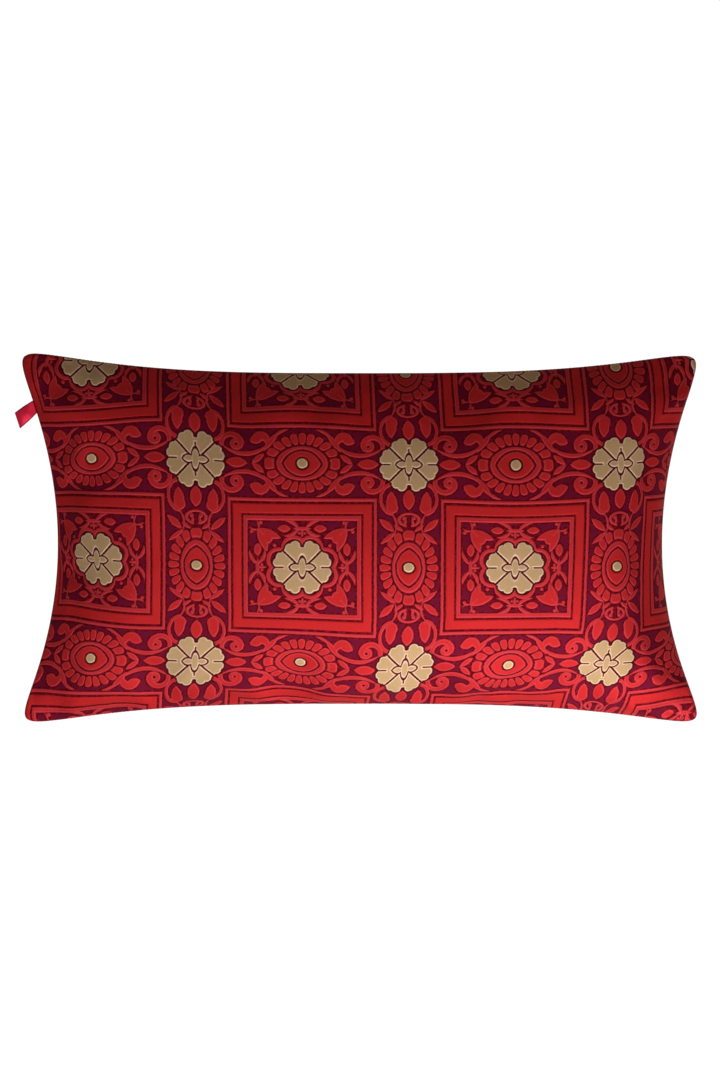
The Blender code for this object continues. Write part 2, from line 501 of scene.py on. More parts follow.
def rim_of(verts):
    """The panel's outer row of points, once round."""
    last_column, last_row = len(verts) - 1, len(verts[0]) - 1
    bottom = [verts[i][0] for i in range(last_column)]
    right = [verts[last_column][j] for j in range(last_row)]
    top = [verts[i][last_row] for i in range(last_column, 0, -1)]
    left = [verts[0][j] for j in range(last_row, 0, -1)]
    return bottom + right + top + left


def cushion_mesh(sizes):
    """Two panels joined by the narrow turn of the seam, as one closed mesh."""
    bm = bmesh.new()
    cloth = bm.loops.layers.uv.new("Cloth")
    bake = bm.loops.layers.uv.new("OFBake")
    across, up = panel_places(sizes)
    panels = (
        # shape, bake_span, is_front
        (front_face, (0, BAKE_SHARE_OF_FRONT), True),
        (back_face, (BAKE_SHARE_OF_FRONT, 1), False),
    )
    rims = []
    for shape, bake_span, is_front in panels:
        points = np.stack(shape(sizes, across, up), axis=2)
        verts = add_panel(bm, (cloth, bake), points, cloth_places(sizes, points), bake_span, is_front)
        rims.append(rim_of(verts))
    upper, lower = rims
    count = len(upper)
    for step in range(count):
        after = (step + 1) % count
        face = bm.faces.new([lower[step], lower[after], upper[after], upper[step]])
        face.material_index = BACK_SLOT
        face.smooth = True
        for loop, (share, side) in zip(face.loops, ((0, 0), (1, 0), (1, 1), (0, 1))):
            bake_y = BAKE_SHARE_OF_FRONT + (side - 0.5) * BAKE_WIDTH_OF_SEAM
            loop[cloth].uv = ((step + share) * CLOTH_STEP_ALONG_SEAM, side * MM)
            loop[bake].uv = ((step + share) / count, bake_y)
    bm.normal_update()
    mesh = bpy.data.meshes.new("cushion")
    bm.to_mesh(mesh)
    bm.free()
    return mesh


# How the cloth settles

def inwards(edge, start, reach):
    """0 outside the start, rising to 1 over the given reach towards the middle."""
    return np.clip((start - edge) / reach, 0, 1)


def paint(obj, name, front, back):
    """A vertex group that holds a weight for each point of the two panels."""
    group = obj.vertex_groups.new(name=name)
    for index, weight in enumerate(np.concatenate([front.reshape(-1), back.reshape(-1)])):
        group.add([index], float(weight), "REPLACE")


def paint_holds(obj, sizes):
    """Marks how firmly each point is held, and where the cloth isn't let out."""
    across, up = panel_places(sizes)
    edge = np.maximum(np.abs(across), np.abs(up))
    front = FACE_HOLD + FACE_HOLD_INSIDE * inwards(edge, FACE_HOLD_START, FACE_HOLD_REACH) ** 2
    front = np.where(edge > ON_SEAM, 1.0, front)
    back = np.where((edge > ON_SEAM) | (fullness_at(across, up) > FLAT_ZONE), 1.0, BACK_HOLD)
    plain = inwards(edge, PLAIN_START, PLAIN_REACH)
    paint(obj, "held", front, back)
    paint(obj, "plain", plain, plain)


def simulated(obj, sizes):
    """The object's points after the cloth simulation, of which nothing stays on the object."""
    cloth = obj.modifiers.new("settle", "CLOTH")
    settings = cloth.settings
    for name, value in CLOTH_SETTINGS.items():
        setattr(settings, name, value)
    settings.bending_stiffness = sizes.bending
    settings.uniform_pressure_force = sizes.pressure
    settings.shrink_min = -sizes.let_out
    settings.vertex_group_mass = "held"
    settings.vertex_group_shrink = "plain"
    settings.effector_weights.gravity = 0
    cloth.collision_settings.use_collision = False
    cloth.collision_settings.use_self_collision = False
    cloth.point_cache.frame_start = 1
    cloth.point_cache.frame_end = sizes.settle_frames
    scene = bpy.context.scene
    for moment in range(1, sizes.settle_frames + 1):
        scene.frame_set(moment)
    settled = obj.evaluated_get(bpy.context.evaluated_depsgraph_get())
    points = np.array([vert.co for vert in settled.data.vertices])
    obj.modifiers.remove(cloth)
    obj.vertex_groups.clear()
    scene.frame_set(1)
    return points


def smoothed(move):
    """Evens out a move over neighbouring points of each panel's grid. The seam keeps its own."""
    for _ in range(SMOOTHING_ROUNDS):
        inner = move[:, 1:-1, 1:-1]
        sides = move[:, :-2, 1:-1] + move[:, 2:, 1:-1] + move[:, 1:-1, :-2] + move[:, 1:-1, 2:]
        move = move.copy()
        move[:, 1:-1, 1:-1] = inner * SMOOTHING_KEPT + sides * ((1 - SMOOTHING_KEPT) / 4)
    return move


def settle(obj, sizes):
    """Lets the cloth settle under the stuffing's pressure, and caps how far a point may move."""
    start = np.array([vert.co for vert in obj.data.vertices])
    paint_holds(obj, sizes)
    move = simulated(obj, sizes) - start
    grid = (2, sizes.cells_long + 1, sizes.cells_wide + 1, 3)
    move = smoothed(move.reshape(grid)).reshape(-1, 3)
    distance = np.linalg.norm(move, axis=1, keepdims=True)
    capped = sizes.cap * np.tanh(distance / sizes.cap)
    move = move * np.divide(capped, distance, out=np.ones_like(distance), where=distance > 0)
    final = start + move
    final[:, 2] = np.clip(final[:, 2], 0, CUSHION_HIGH.z)
    obj.data.vertices.foreach_set("co", final.astype(np.float32).reshape(-1))
    obj.data.update()


# Objects

def new_object(name, mesh, *materials):
    """An object at the origin, linked to the scene."""
    obj = bpy.data.objects.new(name, mesh)
    bpy.context.scene.collection.objects.link(obj)
    for material in materials:
        mesh.materials.append(material)
    return obj


def evaluated_mesh(obj):
    """A plain mesh of the object as its modifiers leave it."""
    depsgraph = bpy.context.evaluated_depsgraph_get()
    return bpy.data.meshes.new_from_object(obj.evaluated_get(depsgraph))


def bake_modifiers(obj):
    """Puts the object's evaluated mesh in place of its modifiers."""
    mesh = evaluated_mesh(obj)
    obj.modifiers.clear()
    obj.data = mesh


# Shader maths

class Wire:
    """An output socket that takes part in Python arithmetic, adding Math nodes as it goes."""

    def __init__(self, board, socket):
        self.board = board
        self.socket = socket

    def __add__(self, other):
        return maths("ADD", self, other)

    def __sub__(self, other):
        return maths("SUBTRACT", self, other)

    def __mul__(self, other):
        return maths("MULTIPLY", self, other)

    def __truediv__(self, other):
        return maths("DIVIDE", self, other)

    def __radd__(self, other):
        return maths("ADD", other, self)

    def __rsub__(self, other):
        return maths("SUBTRACT", other, self)

    def __rmul__(self, other):
        return maths("MULTIPLY", other, self)

    def __neg__(self):
        return maths("MULTIPLY", self, -1)


class Board:
    """One material's nodes."""

    def __init__(self, name):
        self.material = bpy.data.materials.new(name)
        self.material.use_nodes = True
        self.tree = self.material.node_tree
        self.tree.nodes.clear()

    def add(self, kind, settings=None, inputs=None, output=0):
        """Adds a node, sets it up, and feeds its sockets with values or wires."""
        node = self.tree.nodes.new(kind)
        for name, value in (settings or {}).items():
            setattr(node, name, value)
        for key, value in (inputs or {}).items():
            if isinstance(value, Wire):
                self.tree.links.new(value.socket, node.inputs[key])
            else:
                node.inputs[key].default_value = value
        return Wire(self, node.outputs[output]) if len(node.outputs) else node

    def finish(self, shader):
        self.add("ShaderNodeOutputMaterial", {}, {"Surface": shader})
        return self.material


def board_of(values):
    """The board of the first wire among some values."""
    return next(value.board for value in values if isinstance(value, Wire))


def maths(operation, *values):
    """A Math node, fed with numbers or wires."""
    return board_of(values).add("ShaderNodeMath", {"operation": operation}, dict(enumerate(values)))


def lesser(first, second):
    return maths("MINIMUM", first, second)


def greater(first, second):
    return maths("MAXIMUM", first, second)


def magnitude(value):
    return maths("ABSOLUTE", value)


def power(value, exponent):
    return maths("POWER", value, exponent)


def less_than(first, second):
    return maths("LESS_THAN", first, second)


def nearest_whole(value):
    return maths("ROUND", value)


def whole_part(value):
    return maths("FLOOR", value)


def angle_of(x, y):
    return maths("ARCTAN2", y, x)


def folded(value, half):
    """Distance to the nearest mirror line of a repeat whose half is given."""
    return maths("PINGPONG", value, half)


def place(x, y):
    """A vector in the plane."""
    return board_of((x, y)).add("ShaderNodeCombineXYZ", {}, {0: x, 1: y})


def span(x, y):
    """The length of a vector in the plane."""
    where = place(x, y)
    return where.board.add("ShaderNodeVectorMath", {"operation": "LENGTH"}, {0: where}, "Value")


def away(where, centre):
    """The distance from a fixed place in the plane."""
    inputs = {0: where, 1: (*centre, 0)}
    return where.board.add("ShaderNodeVectorMath", {"operation": "DISTANCE"}, inputs, "Value")


def parts_of(where):
    """The first two parts of a vector."""
    split = where.board.tree.nodes.new("ShaderNodeSeparateXYZ")
    where.board.tree.links.new(where.socket, split.inputs[0])
    return Wire(where.board, split.outputs[0]), Wire(where.board, split.outputs[1])


def ramped(value, start, end):
    """0 below start, 1 above end, smooth between."""
    settings = {"interpolation_type": "SMOOTHSTEP"}
    return value.board.add("ShaderNodeMapRange", settings, {0: value, 1: start, 2: end, 3: 0.0, 4: 1.0})


def mixed(board, share, first, second, blend="MIX"):
    """The first colour where the share is 0, and the second where it is 1."""
    settings = {"data_type": "RGBA", "blend_type": blend, "clamp_factor": True}
    return board.add("ShaderNodeMix", settings, {0: share, 6: first, 7: second}, 2)


def rgba(shade, strength=1.0):
    """A colour for a socket, made lighter or darker by the given strength."""
    return (*(part * strength for part in shade), 1.0)


def noise(board, where, scale, detail=2.0, roughness=0.5, stretch=(1, 1, 1)):
    """Noise from 0 to 1 about 0.5, stretched along an axis."""
    mapped = board.add("ShaderNodeMapping", {}, {"Vector": where, "Scale": stretch})
    inputs = {"Vector": mapped, "Scale": scale, "Detail": detail, "Roughness": roughness}
    return board.add("ShaderNodeTexNoise", {"noise_dimensions": "3D"}, inputs, 0)


# The brocade's motifs, as distances in threads: below 0 inside, above 0 outside

def disc(point, centre, radius):
    """A round spot."""
    return away(point, centre) - radius


def circle_through(start, end, bow):
    """The circle through two tips whose arc passes `bow` to the left of the straight way."""
    (x0, y0), (x1, y1) = start, end
    gap = math.hypot(x1 - x0, y1 - y0)
    side = (-(y1 - y0) / gap, (x1 - x0) / gap)
    radius = (gap * gap / 4 + bow * bow) / (2 * abs(bow))
    off = bow - math.copysign(radius, bow)
    return ((x0 + x1) / 2 + side[0] * off, (y0 + y1) / 2 + side[1] * off), radius


def leaf(point, start, end, one_bow, other_bow):
    """A leaf between two tips, whose edges bow to the left of the straight way by the given amounts."""
    left, right = max(one_bow, other_bow), min(one_bow, other_bow)
    outer = disc(point, *circle_through(start, end, left))
    inner = disc(point, *circle_through(start, end, right))
    if left < 0:
        outer = -outer
    if right > 0:
        inner = -inner
    return greater(outer, inner)


def bud(point, start, end, half_width):
    """A leaf with two edges alike."""
    return leaf(point, start, end, half_width, -half_width)


def nearest_of(*parts):
    """Several parts as one."""
    result = parts[0]
    for part in parts[1:]:
        result = lesser(result, part)
    return result


def without(part, cut):
    """A part with another cut out of it."""
    return greater(part, -cut)


def rosette(point, x, y, slit_closed):
    """Eight petals in pairs round a small cross, with scalloped ends.

    A slot parts each pair that lies level, and an open slit each upright one.
    """
    half_slot = 0.85
    to_diagonal = 0.7071
    sideways = x - 2.2
    far, near = greater(sideways, y), lesser(sideways, y)
    eighth = place(far, near)
    lobes = nearest_of(
        disc(eighth, (21.8, 4.9), 4.9),
        disc(eighth, (19.6, 10.4), 4.4),
        disc(eighth, (15.4, 12.8), 3.8),
        disc(eighth, (12.4, 4.0), 9.5),
        disc(point, (0, 0), 20.2))
    diagonal = 1.1 - (far - near) * to_diagonal
    slot = greater(18.5 - x, y - half_slot)
    slit = greater(magnitude(y - 12.6) - 3.6, x - half_slot + slit_closed * 2)
    upright = (span(x * 2.6, y) - 9.3) * 0.55
    cross = nearest_of(upright, bud(point, (1.5, 0), (12.2, 0), 3.1))
    petals = greater(without(without(lobes, slot), slit), greater(diagonal, 1.8 - cross))
    return nearest_of(petals, cross)


def halo(point):
    """The scalloped ring round a panel's rosette."""
    return magnitude(lesser(disc(point, (23.5, 8.0), 10.4), disc(point, (8.5, 20.0), 10.6))) - 1.8


def eye(point, x, y):
    """The long medallion: a pointed core, a ring and twenty petals, with x along its length."""
    petals_in_quarter = 5
    squareness = 2.8
    core = bud(point, (-18.4, 0), (18.4, 0), 12.0)
    oval = span(x * 0.646, y) - 16.5
    ring = without(oval, bud(point, (-20.8, 0), (20.8, 0), 13.7))
    turn = angle_of(x, y * 1.309) * (2 / math.pi)
    share = power(turn, 1.27) * petals_in_quarter
    sideways = (share - nearest_whole(share)) * 13.2
    outward = (span(x * 0.735, y) - 23.6) * (1.36 - turn * 0.36)
    spread = power(magnitude(sideways), squareness) + power(magnitude(outward), squareness)
    petal = power(spread, 1 / squareness) - 5.6
    return nearest_of(core, ring, greater(petal, 1.7 - oval))


def lengthwise_band(point):
    """Buds, scrolls and curled leaves of the bands that run the length of the cushion."""
    arm = leaf(point, (24.6, 13.4), (48.4, 20.0), 13.4, 2.5)
    whorl = nearest_of(arm, disc(point, (40.8, 19.4), 7.4))
    mouth = without(disc(point, (35.4, 17.6), 7.0), disc(point, (40.0, 18.0), 5.6))
    scroll = without(without(whorl, mouth), disc(point, (40.4, 18.0), 1.5))
    neck = without(disc(point, (64.8, 21.4), 9.6), disc(point, (64.0, 15.4), 6.9))
    neck = without(neck, disc(point, (56.6, 14.6), 5.8))
    return nearest_of(
        bud(point, (30.2, 0), (51.6, 0), 5.0),
        bud(point, (56.2, 0), (68.6, 9.2), 2.7),
        scroll,
        neck,
        bud(point, (54.2, 21.2), (68.0, 26.0), 4.6),
        leaf(point, (25.5, 17.0), (75.6, 21.5), -12.6, -8.4),
        leaf(point, (67.4, 11.6), (82.4, 29.8), 3.0, -2.6),
        leaf(point, (76.0, 22.6), (92.6, 32.4), 3.6, 0.6))


def crosswise_band(point, x, y):
    """Buds, commas and curls of the bands that run across the cushion."""
    ring = magnitude(span(x * 0.64, y - 55.5) - 6.3) - 1.0
    ring = without(ring, greater(x - 2.2, 59.0 - y))
    curl = nearest_of(bud(point, (4.6, 62.4), (3.0, 54.2), 1.3), disc(point, (4.6, 54.0), 2.0))
    comma = nearest_of(bud(point, (17.8, 27.0), (16.6, 50.0), 5.3), disc(point, (16.6, 43.2), 6.0))
    stem = magnitude(span((x - 16.5) * 1.28, y - 34.5) - 14.6) - 2.0
    stem = greater(stem, greater(15.5 - x, 16 - y))
    return nearest_of(
        bud(point, (0, 25.2), (0, 45.4), 5.8),
        comma,
        stem,
        leaf(point, (17.8, 49.0), (14.4, 69.0), 4.5, 2.3),
        bud(point, (12.6, 67.8), (28.4, 80.0), 2.4),
        bud(point, (14.6, 67.4), (29.6, 54.6), 3.4),
        bud(point, (5.6, 67.0), (14.6, 61.0), 1.8),
        ring,
        curl)


def panel_figure(x, y):
    """Tulips towards the corners of a panel, which is longer than wide, and sprigs at its sides."""
    longer = 5.3
    inset = x - longer
    far, near = greater(inset, y), lesser(inset, y)
    corner = place(near, far)
    sprig = place(near + longer * less_than(inset, y), far)
    return nearest_of(
        leaf(corner, (39.4, 39.4), (16.0, 29.6), 4.6, -3.6),
        disc(corner, (29.6, 29.6), 5.6),
        disc(corner, (22.3, 22.3), 1.7),
        leaf(corner, (38.6, 38.2), (40.6, 47.4), 2.4, 0.6),
        disc(corner, (36.2, 45.2), 1.7),
        bud(sprig, (11.6, 39.3), (24.4, 39.3), 3.6),
        leaf(sprig, (3.0, 37.4), (17.4, 47.2), 4.7, 1.2),
        leaf(sprig, (3.0, 41.0), (18.4, 32.0), -1.2, -4.7),
        bud(sprig, (-10.0, 39.3), (9.0, 39.3), 1.9),
        bud(sprig, (0, 30.6), (0, 40.0), 1.3),
        disc(sprig, (2.8, 34.8), 1.3))


def stripe(depth, middle, half_width):
    """A line that follows a panel's edge."""
    return magnitude(depth - middle) - half_width


def brocade_figure(u, v):
    """Distances to the gold, to the red figure and to the plain red bands, at a place in threads."""
    half_x, half_y = HALF_REPEAT
    x, y = folded(u, half_x), folded(v, half_y)
    point = place(x, y)
    panel_x, panel_y = half_x - x, half_y - y

    # Rosettes where the bands cross and in the middle of each panel, which lies past the diagonal
    past_diagonal = less_than(1, x / half_x + y / half_y)
    rosette_x = x + (half_x - 2 * x) * past_diagonal
    rosette_y = y + (half_y - 2 * y) * past_diagonal
    gold = rosette(place(rosette_x, rosette_y), rosette_x, rosette_y, past_diagonal)

    # Medallions halfway between two crossings, each with a gold spot
    in_lengthwise = less_than(y / half_y, x / half_x)
    eye_x = panel_y + (panel_x - panel_y) * in_lengthwise
    eye_y = x + (y - x) * in_lengthwise
    medallion = eye(place(eye_x, eye_y), eye_x, eye_y)
    spots = lesser(span(panel_x * SPOT_WIDTH, y), span(x * SPOT_WIDTH, panel_y)) - SPOT_RADIUS
    gold = lesser(gold, spots)

    # The bands' figure outside a panel, its own figure within it, and the frame round it
    depth = lesser(PANEL_HALF[0] - panel_x, (PANEL_HALF[1] - panel_y) * DEPTH_ACROSS)
    bands = nearest_of(lengthwise_band(point), crosswise_band(point, x, y), medallion)
    on_bands = greater(bands, depth + GAP_ROUND_PANEL)
    on_panel = nearest_of(panel_figure(panel_x, panel_y), halo(place(panel_x, panel_y)))
    figure = on_bands + (on_panel - on_bands) * less_than(0, depth)
    lines = lesser(stripe(depth, **FRAME_OUTER_LINE), stripe(depth, **FRAME_INNER_LINE))
    return gold, lesser(figure, lines), stripe(depth, **FRAME_BAND)


# The finishes

def inside(distance):
    """1 inside a motif and 0 outside, about a thread soft."""
    return ramped(-distance, -0.5, 0.4)


def within_reach(distance, reach):
    """1 near a motif and 0 further off than the given reach in threads."""
    return ramped(reach - distance, 0.0, 0.9)


def cloth_place(board):
    """Where a point lies on the flat cloth, in metres."""
    return board.add("ShaderNodeUVMap", {"uv_map": "Cloth"})


def brocade_material(colours):
    """Silk brocade: an aubergine ground, a red figure with a painted highlight along its edges, and gold
    rosettes with a painted highlight along theirs.
    """
    board = Board("brocade")
    cloth = cloth_place(board)
    along, across = parts_of(cloth)
    u = (along - CROSSING[0]) / THREAD[0]
    v = (across - CROSSING[1]) / THREAD[1]

    # Each weft row ends a little to one side, as a woven edge does
    row = board.add("ShaderNodeTexWhiteNoise", {"noise_dimensions": "1D"}, {"W": whole_part(v)}, "Value")
    gold, figure, plain_band = brocade_figure(u + (row - 0.5) * 0.5, v)

    # Speckles of single threads, a slow drift in tone, and worn places in the dark line
    speckle = noise(board, cloth, scale=900.0, detail=1.0, stretch=(0.5, 1.4, 1))
    drift = noise(board, cloth, scale=14.0)
    worn = ramped(noise(board, cloth, scale=380.0, detail=1.0), 0.44, 0.68)

    # Ground, dark line, red figure with a painted highlight along its edge, then the gold with its painted
    # highlight in the same way
    red_area = lesser(figure, plain_band)
    line = mixed(board, worn * 0.3, rgba(colours.outline), rgba(colours.figure))
    shade = mixed(board, within_reach(red_area, 2.2), rgba(colours.ground), line)
    # The red figure, with a painted highlight: lighter towards its edges
    red = mixed(board, ramped(-figure, 0.7, 2.0), rgba(colours.figure_highlight), rgba(colours.figure))
    shade = mixed(board, inside(figure), shade, red)
    shade = mixed(board, inside(plain_band), shade, rgba(colours.figure))
    shade = mixed(board, within_reach(gold, 2.3), shade, rgba(colours.gold_outline))
    # The gold, with a painted highlight: paler towards the rosettes' edges
    gold_with_highlight = mixed(board, ramped(-gold, 0.5, 1.5), rgba(colours.gold_highlight), rgba(colours.gold))
    shade = mixed(board, inside(gold), shade, gold_with_highlight)
    tone = (speckle - 0.5) * 0.5 + (drift - 0.5) * 0.3 + 0.5
    grey = board.add("ShaderNodeCombineColor", {}, {0: tone, 1: tone, 2: tone})
    shade = mixed(board, 0.35, shade, grey, "OVERLAY")

    # The weave's relief: raised figure and gold, with the ribs of weft and warp
    weft = maths("SINE", v * (2 * math.pi))
    warp = maths("SINE", u * (2 * math.pi))
    relief = ramped(-lesser(greater(red_area, 2.0 - gold), gold), -0.8, 1.2)
    height = relief + (weft * 0.5 + warp * 0.25 + speckle) * 0.2
    normal = board.add("ShaderNodeBump", {}, {"Strength": 1.0, "Distance": 0.3 * MM, "Height": height})
    rough = 0.56 - 0.10 * ramped(-red_area, -0.4, 0.4) + (speckle - 0.5) * 0.2
    surface = board.add("ShaderNodeBsdfPrincipled", {}, {
        "Base Color": shade,
        "Roughness": rough,
        "Normal": normal,
        "Metallic": 0.35,
        "Specular IOR Level": 0.08,
        "Specular Tint": (1.0, 0.4, 0.4, 1.0),
    })
    return board.finish(surface)


def silk_material(colours):
    """Plain slubbed silk for the back."""
    board = Board("plain silk")
    cloth = cloth_place(board)
    across = parts_of(cloth)[1]
    slub = noise(board, cloth, scale=420.0, detail=3.0, roughness=0.6, stretch=(0.06, 1.0, 1))
    drift = noise(board, cloth, scale=12.0)
    shade = mixed(board, ramped(slub, 0.35, 0.7), rgba(colours.back, 0.8), rgba(colours.back, 1.15))
    shade = mixed(board, drift * 0.4, shade, rgba(colours.back, 0.75))
    ribs = maths("SINE", across * (2 * math.pi / THREAD[1]))
    height = slub + ribs * 0.35
    normal = board.add("ShaderNodeBump", {}, {"Strength": 0.3, "Distance": 0.3 * MM, "Height": height})
    surface = board.add("ShaderNodeBsdfPrincipled", {}, {
        "Base Color": shade,
        "Roughness": 0.6 - 0.15 * slub,
        "Normal": normal,
        "Specular IOR Level": 0.4,
        "Sheen Weight": 0.15,
    })
    return board.finish(surface)


def satin_material(ribbon):
    """Ribbon satin: fine ribs across the ribbon, and a woven edge along both sides that is rougher and
    darkened as painted shade.
    """
    board = Board("red satin")
    cloth = cloth_place(board)
    along, across = parts_of(cloth)
    half = ribbon.width / 2
    # The woven edge along both sides: rougher, with a little relief, and darkened as painted shade
    edge = ramped(magnitude(across), half - SHADED_SELVEDGE_START, half - SHADED_SELVEDGE_END)
    fibre = noise(board, cloth, scale=700.0, stretch=(0.15, 1.0, 1))
    light = [min(part * 1.15 + 0.01, 1) for part in ribbon.colour]
    shade = mixed(board, fibre, rgba(ribbon.colour, 0.72), rgba(light))
    # Painted shade: the colour darkens towards both sides of the ribbon
    shade = mixed(board, edge, shade, rgba(ribbon.colour, 0.4))
    ribs = maths("SINE", along * (2 * math.pi / SATIN_RIB))
    height = ribs * 0.4 + fibre + edge * 0.8
    normal = board.add("ShaderNodeBump", {}, {"Strength": 0.2, "Distance": 0.2 * MM, "Height": height})
    surface = board.add("ShaderNodeBsdfPrincipled", {}, {
        "Base Color": shade,
        "Roughness": 0.3 + 0.25 * edge,
        "Normal": normal,
        "Metallic": 0.3,
        "Specular IOR Level": 0.4,
        "Specular Tint": (1.0, 0.35, 0.5, 1.0),
    })
    return board.finish(surface)


def thread_material(thread_colour):
    """Twisted sewing thread."""
    board = Board("sewing thread")
    where = board.add("ShaderNodeTexCoord", {}, {}, "Object")
    twist = noise(board, where, scale=2500.0, detail=1.0)
    shade = mixed(board, twist, rgba(thread_colour, 0.6), rgba(thread_colour))
    surface = board.add("ShaderNodeBsdfPrincipled", {}, {
        "Base Color": shade,
        "Roughness": 0.5 + 0.2 * twist,
        "Specular IOR Level": 0.1,
    })
    return board.finish(surface)


def floor_material(floor_colour):
    """A matt floor that shows as pure white paper, without lighting the cushion from below."""
    board = Board("studio floor")
    where = board.add("ShaderNodeTexCoord", {}, {}, "Object")
    grain = noise(board, where, scale=30.0, detail=3.0)
    shade = mixed(board, grain * 0.04, rgba(floor_colour), rgba(floor_colour, 0.9))
    rough = 0.85 + 0.1 * grain
    matt = board.add("ShaderNodeBsdfPrincipled", {}, {"Base Color": shade, "Roughness": rough})
    white = board.add("ShaderNodeEmission", {}, {"Color": (1, 1, 1, 1), "Strength": PAPER_WHITE})
    seen = board.add("ShaderNodeLightPath", {}, {}, "Is Camera Ray")
    return board.finish(board.add("ShaderNodeMixShader", {}, {0: seen, 1: matt, 2: white}))


# Ribbon tab

def ribbon_profile(reach):
    """The folded ribbon from its side, as shares of its reach and heights: out above, and back below."""
    fold = SPREAD_AT_FOLD / reach
    upper = []
    for step in range(STEPS_ALONG_RIBBON):
        share = step / STEPS_ALONG_RIBBON
        spread = SPREAD_AT_SEAM + (SPREAD_AT_FOLD - SPREAD_AT_SEAM) * share ** 2
        upper.append((share * (1 - fold), spread))
    turned = []
    for step in range(STEPS_ROUND_FOLD + 1):
        turn = math.pi * step / STEPS_ROUND_FOLD
        turned.append((1 - fold + fold * math.sin(turn), SPREAD_AT_FOLD * math.cos(turn)))
    lower = [(share, -spread) for share, spread in reversed(upper)]
    return upper + turned + lower


def flat_lengths(profile, reach):
    """How far along the flat ribbon each point of its profile lies."""
    spots = [Vector((share * reach, height)) for share, height in profile]
    lengths = [0.0]
    for before, after in zip(spots, spots[1:]):
        lengths.append(lengths[-1] + (after - before).length)
    return lengths


def left_seam_place(cushion, share):
    """Where the left seam is in plan, at a share of the way from its middle to the top corner."""
    x, y = on_outline(cushion, np.array([-1.0]), np.array([share]))
    return Vector((x[0], y[0]))


def ribbon_rows(bm, cushion, ribbon, profile):
    """The ribbon's points: a row across it for each point of its profile. The first lies along the seam."""
    seam_point = left_seam_place(cushion, ribbon.place)
    seam_line = (left_seam_place(cushion, ribbon.place + SEAM_STRETCH) - seam_point).normalized()
    seam_normal = Vector((-seam_line.y, seam_line.x))
    out = Vector((-math.cos(ribbon.slant), -math.sin(ribbon.slant)))
    side = Vector((-out.y, out.x))
    bevel = -side.dot(seam_normal) / out.dot(seam_normal)
    level = float(seam_height_at(cushion, np.array([-1.0]), np.array([ribbon.place]))[0])
    rows = []
    for share, height in profile:
        row = []
        for step in range(STEPS_ACROSS_RIBBON + 1):
            turn = 2 * step / STEPS_ACROSS_RIBBON - 1
            across = turn * ribbon.width / 2 * (1 - ribbon.gather * (1 - share) ** 2)
            start = bevel * across
            along = start + (ribbon.reach + ribbon.askew * turn - start) * share
            spot = seam_point + out * along + side * across
            bow = ribbon.bow * (1 - 0.5 * turn ** 2) * 4 * share * (1 - share)
            z = level + height - ribbon.droop * share ** 2 + bow - ribbon.roll * turn * share
            row.append(bm.verts.new((spot.x, spot.y, z)))
        rows.append(row)
    return rows


def ribbon_mesh(cushion, ribbon):
    """A ribbon folded back on itself, whose two ends go into the seam, and its length when flat."""
    profile = ribbon_profile(ribbon.reach)
    lengths = flat_lengths(profile, ribbon.reach)
    bm = bmesh.new()
    cloth = bm.loops.layers.uv.new("Cloth")
    rows = ribbon_rows(bm, cushion, ribbon, profile)
    for i in range(len(rows) - 1):
        for j in range(STEPS_ACROSS_RIBBON):
            corners = ((i, j), (i + 1, j), (i + 1, j + 1), (i, j + 1))
            face = bm.faces.new([rows[a][b] for a, b in corners])
            face.smooth = True
            for loop, (a, b) in zip(face.loops, corners):
                loop[cloth].uv = (lengths[a], (2 * b / STEPS_ACROSS_RIBBON - 1) * ribbon.width / 2)
    bm.normal_update()
    mesh = bpy.data.meshes.new("ribbon_tab")
    bm.to_mesh(mesh)
    bm.free()
    return mesh, lengths[-1]


# Seam stitches

def seam_curve(sizes, inset):
    """The seam's middle line as a closed curve, a little inside the outline."""
    steps = crowded(sizes.cells_long)[:-1]
    side = np.ones_like(steps)
    across = np.concatenate([steps, side, -steps, -side])
    up = np.concatenate([-side, steps, side, -steps])
    x, y = on_outline(sizes, across, up)
    reach = np.hypot(x, y)
    x = x * (1 - inset / reach)
    y = y * (1 - inset / reach)
    z = seam_height_at(sizes, across, up)
    curve = bpy.data.curves.new("seam line", "CURVE")
    curve.dimensions = "3D"
    line = curve.splines.new("POLY")
    line.points.add(len(x) - 1)
    for point, spot in zip(line.points, zip(x, y, z)):
        point.co = (*spot, 1)
    line.use_cyclic_u = True
    return curve


